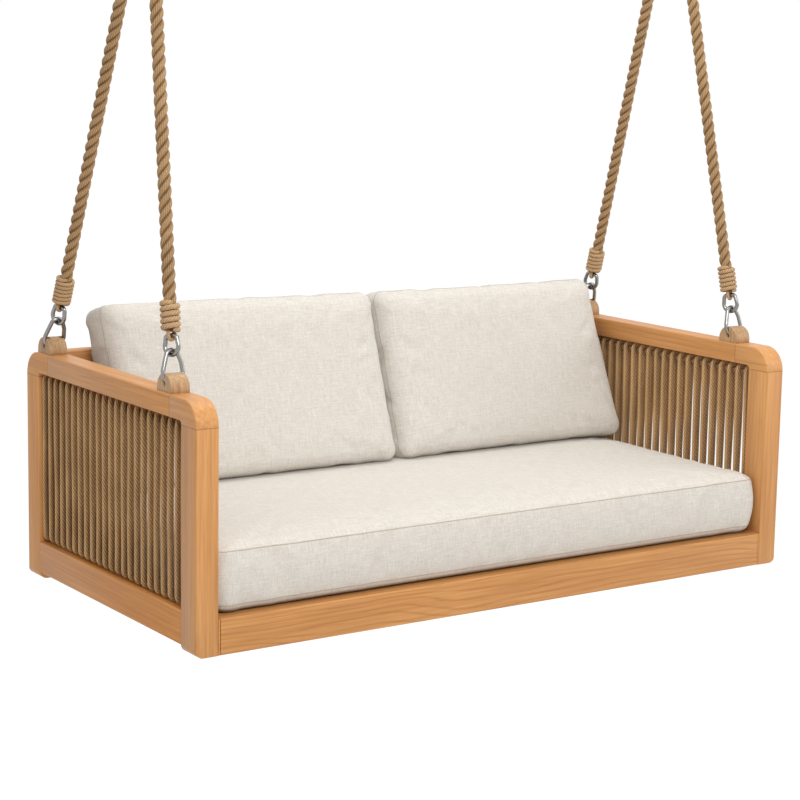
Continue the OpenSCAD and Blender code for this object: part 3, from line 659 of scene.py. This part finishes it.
for side, sign, slant, seed in (("left", -1, (0.22, 0.45), 3), ("right", 1, (0.80, 0.57), 5)):
    route = panel_route(arm_turns, arm_start, arm_step, *arm_rods, slant, seed)
    path = evened([in_bed(sign * (arm_out - panel_out * depth), place, height)
                   for depth, place, height in route], gap=0.004)
    panel = tubes("cord_panel_" + side + "_wound", [path], [cord_wide / 2 + cord_swell], 12,
                  cord_fibre)
    shaded_sides(panel, path, bed_frame.to_3x3() @ Vector((0, 1, 0)))
    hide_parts("cord_panel_" + side)
    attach(panel, "bed")

route = panel_route(back_turns, back_start, back_step, *back_rods, (0.4, 0.6), 9)
path = evened([in_bed(-place, back_depth + panel_out * depth, height)
               for depth, place, height in route], gap=0.006)
back_panel = tubes("back_cords_wound", [path], [cord_wide / 2], 10, cord_fibre)
shaded_sides(back_panel, path, (1, 0, 0))
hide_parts("back_cords")
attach(back_panel, "bed")

# --- Seat cushion ----------------------------------------------------------------------
# A deep boxed cushion of soft foam in a loose, off-white slubbed linen cover, sewn with a
# welted seam above and below its boxing. It lies loose on the slats between the arms.
seam_radius = 0.0016
seam_sunk = 0.35             # a seam's middle lies this share of its radius in the cloth
edge_pull = 0.002            # the sides are pulled in by this much between the corners
edge_full = 0.80             # share of the crown's rise that the rolled edge reaches
cloth_frames, cloth_pressure = 20, 4
crease_limit = 0.0035
crease_area = 0.0054         # in square metres: what moves together over it is no crease
rest_high, rest_fade, rest_shade = 0.014, 0.010, 0.8    # painted shade under the resting edge
skin_gap = 0.0002            # the cloth keeps this far inside its solid's flat faces


def linen():
    """Plain-woven linen with slubs both ways. UV 'weave' is in metres on each face."""
    material, tree, shader = finish("off-white linen", 0.88)
    across, along, _ = tree.node("UVMap", {"uv_map": "weave"}).parts()

    def threads(over, lengthwise, layer, detail=2.0, roughness=0.6):
        """Noise of so many threads to a metre, each way over the cloth."""
        return tree.noise(tree.vector(across * over, along * lengthwise, layer),
                          1.0, detail, roughness)

    warp, weft = threads(760, 110, 0.0), threads(110, 760, 5.0)
    patch = tree.noise(tree.vector(across, along), 14.0, 3.0)
    slub = threads(330, 24, 2.0, 1.0, 0.55) + threads(24, 330, 8.0, 1.0, 0.55)
    tone = (warp * 0.7 + weft * 0.7 + patch * 0.12 + slub * 0.55 - 0.81).clipped()
    cloth = tree.blend(tone, (0.47, 0.432, 0.382, 1), (0.785, 0.762, 0.715, 1))
    # painted shade: the cloth darkens towards the lowest edge, where the cushion rests
    painted_rest_shade = tree.node("Attribute", {"attribute_name": "painted_rest_shade"}, out="Fac")
    feed(tree.blend(painted_rest_shade, cloth, (0.085, 0.068, 0.052, 1)), shader, "Base Color")
    shader.inputs["Sheen Weight"].default_value = 0.12
    shader.inputs["Specular IOR Level"].default_value = 0.2
    bumped(warp + weft + slub * 0.5, shader, 0.35, 0.0006)
    return material


def seam_linen():
    """The same linen on the seams, darkened in colour with painted shade of their folds."""
    material, tree, shader = finish("seam linen", 0.9)
    thread = tree.noise(tree.node("TexCoord", out="Object"), 300.0, 3.0)
    feed(tree.blend(thread, (0.30, 0.25, 0.195, 1), (0.62, 0.565, 0.485, 1)), shader, "Base Color")
    return material


linen_cloth = linen()
seam_cloth = seam_linen()


def outline(half_x, half_y, corner):
    """Rounded rectangle whose sides are pulled in a little between the corners."""
    points = []
    for cx, cy, start in ((1, 1, 0), (-1, 1, 90), (-1, -1, 180), (1, -1, 270)):
        for angle in np.radians(start + np.linspace(0, 90, 10)):
            points.append((cx * (half_x - corner) + corner * math.cos(angle),
                           cy * (half_y - corner) + corner * math.sin(angle)))
        along_x = cx == cy
        reach = (half_x if along_x else half_y) - corner
        for t in np.linspace(-1, 1, 26)[1:-1]:
            inward = edge_pull * math.cos(t * math.pi / 2) ** 0.6
            if along_x:
                points.append((-t * reach * cx, cy * (half_y - inward)))
            else:
                points.append((cx * (half_x - inward), -t * reach * cy))
    return np.array(points)


class Boxed:
    """Shape of a boxed cushion, in heights on its own axis: a soft face that rolls over to
    a crown, an upright boxing between two seams, and an underside tucked in."""

    def __init__(self, half_x, half_y, corner, under, low_seam, high_seam, crown, swell,
                 tuck, roll):
        self.half_x, self.half_y, self.corner = half_x, half_y, corner
        self.under, self.low_seam, self.high_seam, self.crown = under, low_seam, high_seam, crown
        self.swell, self.tuck, self.roll = swell, tuck, roll

    def ring(self, height, inset=0.0):
        flat = outline(self.half_x - inset, self.half_y - inset, self.corner)
        return np.column_stack([flat, np.full(len(flat), height)])

    def mesh(self, name):
        """The closed skin, level by level, with a flat top where the crown will rise."""
        below, boxing = self.low_seam - self.under, self.high_seam - self.low_seam
        rise = (self.crown - self.high_seam) * edge_full
        levels = [(self.low_seam - below * math.sin(a), self.tuck * (1 - math.cos(a)))
                  for a in np.linspace(math.pi / 2, 0, 6)]
        levels += [(self.low_seam + boxing * t, -self.swell * math.sin(math.pi * t))
                   for t in np.linspace(0, 1, 9)[1:]]
        levels += [(self.high_seam + rise * math.sin(a), self.roll * (1 - math.cos(a)))
                   for a in np.linspace(0, math.pi / 2, 8)[1:]]
        rings = [self.ring(height, inset) for height, inset in levels]
        count, last = len(rings[0]), len(rings) - 1
        faces = [(j * count + i, j * count + (i + 1) % count, (j + 1) * count + (i + 1) % count,
                  (j + 1) * count + i) for j in range(last) for i in range(count)]
        faces.append(tuple(reversed(range(count))))
        faces.append(tuple(last * count + i for i in range(count)))
        mesh = bpy.data.meshes.new(name)
        mesh.from_pydata(np.concatenate(rings).tolist(), [], faces)
        return mesh

    def crowned(self, points):
        """The points with the face's middle raised to the crown."""
        across, along = points[:, 0] / self.half_x, points[:, 1] / self.half_y
        dome = np.clip(1 - across ** 4, 0, 1) ** 0.5 * np.clip(1 - along ** 4, 0, 1) ** 0.5
        full = self.crown - self.high_seam
        risen = np.clip((points[:, 2] - self.high_seam) / full / edge_full, 0, 1)
        points[:, 2] += risen * dome * full * (1 - edge_full)
        return points


def set_points(pad, points):
    pad.data.vertices.foreach_set("co", points.ravel())
    pad.data.update()


def apply_to(pad, modifier):
    with bpy.context.temp_override(object=pad, active_object=pad):
        bpy.ops.object.modifier_apply(modifier=modifier.name)


def neighbours_mean(pad, values, rounds):
    """Values at the points of a mesh, evened out over their neighbours."""
    ends = np.zeros(len(pad.data.edges) * 2, int)
    pad.data.edges.foreach_get("vertices", ends)
    first, second = ends.reshape(-1, 2).T
    degree = np.bincount(ends, minlength=len(values))[:, None]
    values = values.copy()
    for _ in range(rounds):
        total = np.column_stack([
            np.bincount(first, values[second, k], len(values))
            + np.bincount(second, values[first, k], len(values)) for k in range(3)])
        values = (values + total / degree) / 2
    return values


def creased(pad, points, voxel):
    """The points moved by the creases that the cover takes under the stuffing's pressure.
    The stuffing holds the cushion's shape, so the cloth's broad movement isn't kept."""
    cloth = pad.modifiers.new("cloth", "CLOTH")
    cloth.settings.use_pressure = True
    cloth.settings.uniform_pressure_force = cloth_pressure
    cloth.settings.effector_weights.gravity = 0
    cloth.settings.quality = 4
    cloth.point_cache.frame_start, cloth.point_cache.frame_end = 1, cloth_frames
    for number in range(1, cloth_frames + 1):
        bpy.context.scene.frame_set(number)
    apply_to(pad, cloth)
    bpy.context.scene.frame_set(1)
    move = points_of(pad) - points
    crease = move - neighbours_mean(pad, move, round(crease_area / voxel ** 2))
    far = np.linalg.norm(crease, axis=1)[:, None]
    return points + crease * crease_limit * np.tanh(far / crease_limit) / np.maximum(far, 1e-9)


def lay_weave(pad):
    """Lays the weave flat on each face of the cushion by a UV map in metres."""
    mesh = pad.data
    corner_point = np.zeros(len(mesh.loops), int)
    mesh.loops.foreach_get("vertex_index", corner_point)
    normal = np.zeros(len(mesh.polygons) * 3)
    mesh.polygons.foreach_get("normal", normal)
    corner_count = np.zeros(len(mesh.polygons), int)
    mesh.polygons.foreach_get("loop_total", corner_count)
    facing = np.repeat(np.abs(normal.reshape(-1, 3)).argmax(1), corner_count)
    place = points_of(pad)[corner_point]
    first = np.where(facing == 0, place[:, 1], place[:, 0])
    second = np.where(facing == 2, place[:, 1], place[:, 2])
    mesh.uv_layers.new(name="weave").data.foreach_set(
        "uv", np.column_stack([first, second]).astype(np.float32).ravel())


def cushion(name, node, shape, place, voxel, settle, room):
    """A linen cushion of that boxed shape, with its creases and its two seams.
    settle(points) gives it its own sag, and room(points) keeps it clear of what it rests on."""
    pad = bpy.data.objects.new(name, shape.mesh(name))
    bpy.context.scene.collection.objects.link(pad)
    bpy.context.view_layer.objects.active = pad
    remesh = pad.modifiers.new("even mesh", "REMESH")
    remesh.mode, remesh.voxel_size = "VOXEL", voxel * 1
    apply_to(pad, remesh)
    points = settle(shape.crowned(points_of(pad)))
    set_points(pad, points)
    points = creased(pad, points, voxel)
    set_points(pad, room(points))
    smooth = pad.modifiers.new("finer", "SUBSURF")
    smooth.levels = smooth.render_levels = 1
    apply_to(pad, smooth)
    lay_weave(pad)
    seams = []
    for height in (shape.low_seam, shape.high_seam):
        seam = shape.ring(height)
        seam = settle(evened(np.vstack([seam, seam[:1]]), gap=0.006)[:-1])
        skin = [pad.closest_point_on_mesh(Vector(point)) for point in seam]
        seams.append([place @ (spot - normal * seam_radius * seam_sunk)
                      for _, spot, normal, _ in skin])
    pad.data.transform(place)
    # the lowest edge, where a cushion rests on what carries it, is painted dark as deep shade
    up = points_of(pad) @ np.array(bed_frame.to_3x3().col[2])
    mark(pad, "painted_rest_shade", np.clip((up.min() + rest_high - up) / rest_fade, 0, 1) * rest_shade)
    pad.data.materials.append(linen_cloth)
    pad.data.polygons.foreach_set("use_smooth", [True] * len(pad.data.polygons))
    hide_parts(node)
    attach(pad, "bed")
    welt = tubes(name + "_seams", seams, [seam_radius] * 2, 8, seam_cloth, closed=True)
    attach(welt, "bed")


seat_low, seat_high = 0.0884, 0.2574
seat_half_x, seat_half_y = 0.8455, 0.408
seat_room_x = 0.8492         # half the room between the arms
seat_room_front, seat_room_rear, seat_room_up = 0.009, 0.004, 0.0096    # beyond its edges
seat_proud = 0.010           # the foam stands up this much in front of the back cushions
proud_end, proud_fade = 0.304, 0.10     # back from its middle, where that rise ends
proud_from, proud_over = 0.10, 0.06     # up from its underside, where the foam gives
seat_ahead = 0.034
seat_place = bed_frame @ Matrix.Translation((0, -seat_ahead, 0))


def seat_room(points):
    """Keeps the cushion between the arms, on the slats and clear of the rails."""
    points = points.copy()
    points[:, 0] = np.clip(points[:, 0], -seat_room_x, seat_room_x)
    points[:, 1] = np.clip(points[:, 1], -seat_half_y - seat_room_front,
                           seat_half_y + seat_room_rear)
    points[:, 2] = np.clip(points[:, 2], seat_low + skin_gap, seat_high + seat_room_up)
    return points


def seat_settle(points):
    """The seat's foam stands up a little in front of the back cushions that press on it."""
    points = points.copy()
    across, along = points[:, 0] / seat_half_x, points[:, 1] / seat_half_y
    dome = np.clip(1 - across ** 6, 0, 1) * np.clip(1 - along ** 6, 0, 1)
    points[:, 2] += seat_proud * dome * np.clip((proud_end - points[:, 1]) / proud_fade, 0, 1) \
        * np.clip((points[:, 2] - seat_low - proud_from) / proud_over, 0, 1)
    return points


seat_shape = Boxed(half_x=seat_half_x, half_y=seat_half_y, corner=0.038, under=seat_low - 0.003,
                   low_seam=seat_low + 0.022, high_seam=seat_low + 0.152, crown=seat_high,
                   swell=0.007, tuck=0.036, roll=0.055)
cushion("seat_cushion_linen", "seat_cushion", seat_shape, seat_place, 0.011, seat_settle, seat_room)

# --- Back cushions ---------------------------------------------------------------------
# Two boxed cushions of the same foam and linen. They stand loose on the seat cushion, sink
# into it a little, and lean on the back top rail. Their own axes are across, up and out.
back_half = 0.221
back_lean = math.radians(19.4)
back_deep = 0.112            # from the front seam back to the solid's rear face
back_full = back_deep + 0.004
back_loft = 0.042            # the crown stands this far ahead of the front seam
back_room_foot, back_room_head = 0.050, 0.010    # beyond its foot and its head
rail_front, rail_top, rail_gap = 0.383, 0.600, 0.0004
foot_up = 0.2585
foot_back = rail_front - rail_gap - (rail_top - foot_up) * math.tan(back_lean)
foot_sunk = 0.65             # the share of a foot's rise off the seat that sinks away
left_lift, left_still = 0.023, 0.4      # lifted so much a metre, outward from this far in
right_draw, right_half = 0.026, 0.39    # drawn in so much at the top, at this far out


def back_room(points):
    """Keeps the cushion clear of the rail behind it, and within its height and loft."""
    points = points.copy()
    points[:, 2] = np.clip(points[:, 2], -back_full + skin_gap, back_loft - skin_gap)
    points[:, 1] = np.clip(points[:, 1], -back_half - back_room_foot, back_half + back_room_head)
    return points


def pressed_down(points):
    """The foot of a leaning cushion sinks on to the seat, most at its front."""
    points = points.copy()
    raised = (points[:, 2] + back_full) * math.tan(back_lean)
    points[:, 1] -= foot_sunk * raised * np.clip((back_half - points[:, 1]) / (2 * back_half), 0, 1)
    return points


def left_settle(points):
    """The left cushion stands a little higher at its outer end."""
    points = pressed_down(points)
    points[:, 1] += left_lift * np.clip(left_still - points[:, 0], 0, 1) \
        * np.clip(points[:, 1] / back_half, 0, 1)
    return points


def right_settle(points):
    """The right cushion's outer side is drawn in towards its top."""
    points = pressed_down(points)
    points[:, 0] -= right_draw * np.clip(points[:, 0] / right_half, 0, 1) \
        * np.clip((points[:, 1] + back_half) / (2 * back_half), 0, 1)
    return points


for side, left, right, settle in (("left", -0.778, 0.044, left_settle),
                                  ("right", 0.0585, 0.8415, right_settle)):
    foot = ((left + right) / 2, foot_back - back_full * math.cos(back_lean),
            foot_up + back_full * math.sin(back_lean))
    leaning = bed_frame @ Matrix.Translation(foot) \
        @ Matrix.Rotation(math.pi / 2 - back_lean, 4, "X") @ Matrix.Translation((0, back_half, 0))
    shape = Boxed(half_x=(right - left) / 2, half_y=back_half + 0.002, corner=0.030,
                  under=-back_full, low_seam=0.028 - back_deep, high_seam=0.0, crown=back_loft,
                  swell=0.006, tuck=0.030, roll=0.045)
    cushion("back_cushion_" + side + "_linen", "back_cushion_" + side, shape, leaning, 0.008,
            settle, back_room)

# --- Studio ----------------------------------------------------------------------------
# A plain floor well below the bed, a large soft lamp near the camera, one overhead and a
# weak one on the right. The floor and the world look white behind the bed and in its
# steel, and the floor still takes the bed's shadow.
floor_half = 40
floor_drop = 1.3             # below the bed's feet
floor_mesh = bpy.data.meshes.new("studio_floor")
floor_mesh.from_pydata([(-floor_half, -floor_half, 0), (floor_half, -floor_half, 0),
                        (floor_half, floor_half, 0), (-floor_half, floor_half, 0)], [],
                       [(0, 1, 2, 3)])
floor = bpy.data.objects.new("studio_floor", floor_mesh)
floor.location.z = -ceiling_above_feet - floor_drop
bpy.context.scene.collection.objects.link(floor)


def seen(tree):
    """1 for the rays that show the studio: the camera's, mirrored ones and clear ones."""
    camera_ray, mirrored, clear = [tree.node("LightPath", out=name) for name in (
        "Is Camera Ray", "Is Glossy Ray", "Is Transmission Ray")]
    return (camera_ray + mirrored + clear).clipped()


floor_paint, floor_tree, floor_shader = finish("studio white", 0.9)
floor_shader.inputs["Base Color"].default_value = (0.8, 0.8, 0.8, 1)
plain = Socket(floor_tree.tree, floor_shader.outputs[0])
glow = floor_tree.node("Emission", None, {"Color": (0.80, 0.80, 0.81, 1), "Strength": 1.0})
shade = floor_tree.node("BsdfDiffuse", None, {"Color": (0.33, 0.34, 0.355, 1)})
white = floor_tree.node("AddShader", None, {0: glow, 1: shade})
mixed = floor_tree.node("MixShader", None, {0: seen(floor_tree), 1: plain, 2: white})
feed(mixed, floor_tree.tree.nodes["Material Output"], "Surface")
floor_mesh.materials.append(floor_paint)

world = bpy.data.worlds.new("studio")
bpy.context.scene.world = world
world.use_nodes = True
sky = Socket(world.node_tree)
tint = sky.blend(seen(sky), (0.645, 0.62, 0.59, 1), (1, 1, 1, 1))
feed(tint, world.node_tree.nodes["Background"], "Color")


def softbox(name, where, target, size, power):
    """A rectangular lamp at a place, turned to a target; size is across and up, in metres."""
    lamp = bpy.data.lights.new(name, "AREA")
    lamp.shape, lamp.size, lamp.size_y, lamp.energy = "RECTANGLE", size[0], size[1], power
    made = bpy.data.objects.new(name, lamp)
    made.location = where
    made.rotation_euler = (Vector(target) - Vector(where)).to_track_quat("-Z", "Y").to_euler()
    bpy.context.scene.collection.objects.link(made)


softbox("key", in_bed(-1.6, -4.2, 3.4), in_bed(0, 0, 0.3), (2.4, 1.8), 128)
softbox("top", in_bed(0.3, 0.2, 3.6), in_bed(0, 0, 0.2), (3.0, 2.4), 53)
softbox("right", in_bed(3.6, -2.6, 1.8), in_bed(0.2, 0, 0.3), (1.6, 1.8), 33)
bpy.context.scene.view_settings.view_transform = "Standard"
